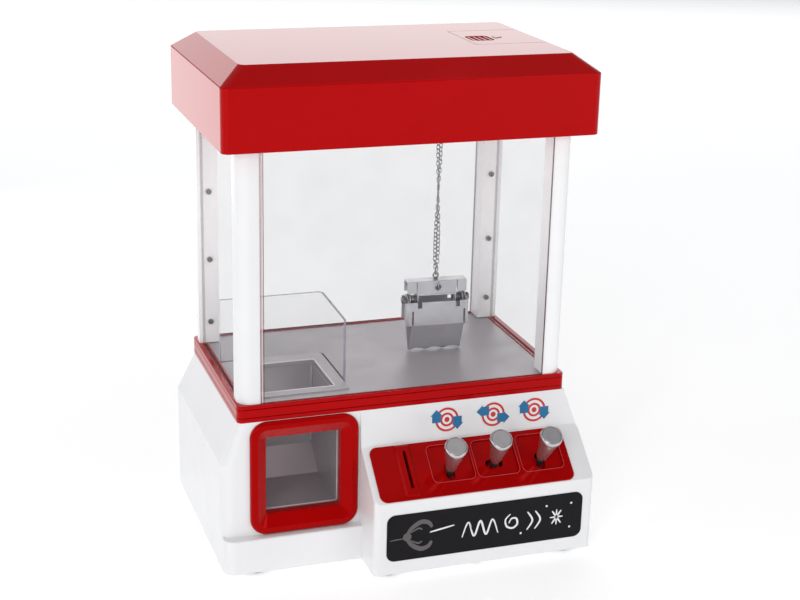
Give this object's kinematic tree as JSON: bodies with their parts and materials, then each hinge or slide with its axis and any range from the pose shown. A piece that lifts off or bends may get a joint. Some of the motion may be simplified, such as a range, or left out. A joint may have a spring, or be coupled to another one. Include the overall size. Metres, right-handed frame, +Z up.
{
  "type": "claw crane machine",
  "caption": "Tabletop toy claw crane: clear-windowed cabinet, travelling hoisted claw, lever console with coin slot, prize door and coin drawer.",
  "frame": {"origin": "Bottom centre of the whole object on the surface it stands on", "axes": "+X to the right seen from the front, +Y to the back, +Z up"},
  "size_m": [0.261, 0.2074, 0.3538],
  "materials": {
    "white_shell": "gloss",
    "red_trim": "gloss",
    "silver_deck": "metallic gloss",
    "clear_sheet": "clear",
    "chute_grey": "satin",
    "claw_steel": "satin",
    "chain_steel": "polished",
    "rod_steel": "ground",
    "motor_steel": "satin",
    "screw_steel": "zinc",
    "lever_silver": "metallised",
    "black_plastic": "satin",
    "gear_nylon": "satin",
    "label_film": "gloss film",
    "decal_film": "printed film",
    "rubber_black": "matt",
    "board_green": "lacquered",
    "cell_jacket": "printed sleeve"
  },
  "bodies": {
    "cabinet": {"base_shell": "white_shell", "base_plate": "white_shell", "case_screws": "screw_steel", "rubber_feet": "rubber_black", "deck_rim": "red_trim", "deck_tray": "silver_deck", "prize_chute": "chute_grey", "chute_guard": "clear_sheet", "door_frame": "red_trim", "control_panel": "red_trim", "lever_bracket": "black_plastic", "control_board": "board_green", "coin_guide": "black_plastic", "console_label": "label_film", "target_decals": "decal_film", "main_board": "board_green", "speaker": "black_plastic", "switch_housing": "black_plastic", "window_left": "clear_sheet", "window_right": "clear_sheet", "window_front": "clear_sheet", "window_back": "clear_sheet", "roof_shell": "red_trim", "roof_tray": "red_trim", "battery_box": "black_plastic", "batteries": "cell_jacket", "guide_rods": "rod_steel", "drive_racks": "gear_nylon", "post_front_left": "white_shell", "post_front_right": "white_shell", "post_back_left": "white_shell", "post_back_right": "white_shell"},
    "bridge": {"bridge_ends": "black_plastic", "bridge_rods": "rod_steel", "trolley_rack": "gear_nylon", "bridge_motor": "motor_steel"},
    "bridge_shaft": {"drive_shaft": "rod_steel", "drive_pinions": "gear_nylon"},
    "bridge_gear": {"bridge_motor_pinion": "gear_nylon"},
    "trolley": {"trolley_carriage": "black_plastic", "trolley_motor": "motor_steel", "hoist_motor": "motor_steel", "lift_chain": "chain_steel"},
    "trolley_gear": {"trolley_pinion": "gear_nylon"},
    "hoist_gear": {"hoist_pinion": "gear_nylon"},
    "drum": {"chain_drum": "gear_nylon"},
    "chain_end": {"claw_eye": "chain_steel"},
    "claw": {"claw_yoke": "claw_steel", "claw_pins": "chain_steel"},
    "front_jaw": {"jaw_front": "claw_steel"},
    "rear_jaw": {"jaw_rear": "claw_steel"},
    "lever_1": {"lever_stem_1": "black_plastic", "lever_knob_1": "lever_silver"},
    "lever_2": {"lever_stem_2": "black_plastic", "lever_knob_2": "lever_silver"},
    "lever_3": {"lever_stem_3": "black_plastic", "lever_knob_3": "lever_silver"},
    "drawer": {"coin_drawer": "white_shell"},
    "switch_button": {"power_switch": "black_plastic"},
    "battery_lid": {"battery_cover": "red_trim"}
  },
  "joints": [
    {"name": "bridge_travel", "type": "slide", "parent": "cabinet", "child": "bridge", "axis": [0, -1, 0], "range_m": [-0.035, 0.035]},
    {"name": "shaft_spin", "type": "hinge", "parent": "bridge", "child": "bridge_shaft", "pos_m": [0, 0.03913, 0.3115], "axis": [1, 0, 0], "range_deg": [-335, 335]},
    {"name": "bridge_pinion_spin", "type": "hinge", "parent": "bridge", "child": "bridge_gear", "pos_m": [-0.103, 0.03913, 0.3235], "axis": [1, 0, 0], "range_deg": [-468.5, 468.5]},
    {"name": "trolley_travel", "type": "slide", "parent": "bridge", "child": "trolley", "axis": [-1, 0, 0], "range_m": [-0.0155, 0.054]},
    {"name": "trolley_pinion_spin", "type": "hinge", "parent": "trolley", "child": "trolley_gear", "pos_m": [0.0705, -0.00537, 0.325], "axis": [0, 1, 0], "range_deg": [-516, 149]},
    {"name": "hoist", "type": "slide", "parent": "trolley", "child": "chain_end", "axis": [0, 0, 1], "range_m": [0, 0.11], "deforming": ["lift_chain"]},
    {"name": "drum_spin", "type": "hinge", "parent": "trolley", "child": "drum", "pos_m": [0.041, 0.01713, 0.325], "axis": [0, 1, 0], "range_deg": [-1146, 0]},
    {"name": "hoist_pinion_spin", "type": "hinge", "parent": "trolley", "child": "hoist_gear", "pos_m": [0.051, 0.02463, 0.325], "axis": [0, 1, 0], "range_deg": [0, 1719]},
    {"name": "claw_swivel", "type": "hinge", "parent": "chain_end", "child": "claw", "pos_m": [0.0465, 0.01713, 0.1783], "axis": [0, 0, 1], "range_deg": [-90, 90]},
    {"name": "jaw_front_open", "type": "hinge", "parent": "claw", "child": "front_jaw", "pos_m": [0.0465, 0.01713, 0.1635], "axis": [-0.9986, 0.0523, 0], "range_deg": [0, 32], "stiffness_Nm_per_rad": 0.01, "springref_deg": -17.19},
    {"name": "jaw_rear_open", "type": "hinge", "parent": "claw", "child": "rear_jaw", "pos_m": [0.0465, 0.01713, 0.1635], "axis": [-0.9986, 0.0523, 0], "range_deg": [-32, 0]},
    {"name": "lever_1_tilt", "type": "hinge", "parent": "cabinet", "child": "lever_1", "pos_m": [0.027, -0.07185, 0.05918], "axis": [1, 0, 0], "range_deg": [-14, 14], "stiffness_Nm_per_rad": 0.15},
    {"name": "lever_2_tilt", "type": "hinge", "parent": "cabinet", "child": "lever_2", "pos_m": [0.0606, -0.07041, 0.06041], "axis": [0, 0.7604, 0.6494], "range_deg": [-14, 14], "stiffness_Nm_per_rad": 0.15},
    {"name": "lever_3_tilt", "type": "hinge", "parent": "cabinet", "child": "lever_3", "pos_m": [0.094, -0.072, 0.05905], "axis": [1, 0, 0], "range_deg": [-14, 14], "stiffness_Nm_per_rad": 0.15},
    {"name": "coin_drawer_slide", "type": "slide", "parent": "cabinet", "child": "drawer", "axis": [0, 1, 0], "range_m": [0, 0.045]},
    {"name": "power_switch_slide", "type": "slide", "parent": "cabinet", "child": "switch_button", "axis": [1, 0, 0], "range_m": [0, 0.005]},
    {"name": "battery_cover_slide", "type": "slide", "parent": "cabinet", "child": "battery_lid", "axis": [1, 0, 0], "range_m": [0, 0.055]}
  ],
  "couplings": [
    {"joint": "shaft_spin", "follows": "bridge_travel", "rad_per_m": 166.67},
    {"joint": "bridge_pinion_spin", "follows": "bridge_travel", "rad_per_m": -233.33},
    {"joint": "trolley_pinion_spin", "follows": "trolley_travel", "rad_per_m": -166.67},
    {"joint": "drum_spin", "follows": "hoist", "rad_per_m": -181.82},
    {"joint": "hoist_pinion_spin", "follows": "hoist", "rad_per_m": 272.73},
    {"joint": "jaw_rear_open", "follows": "jaw_front_open", "ratio": -1}
  ]
}
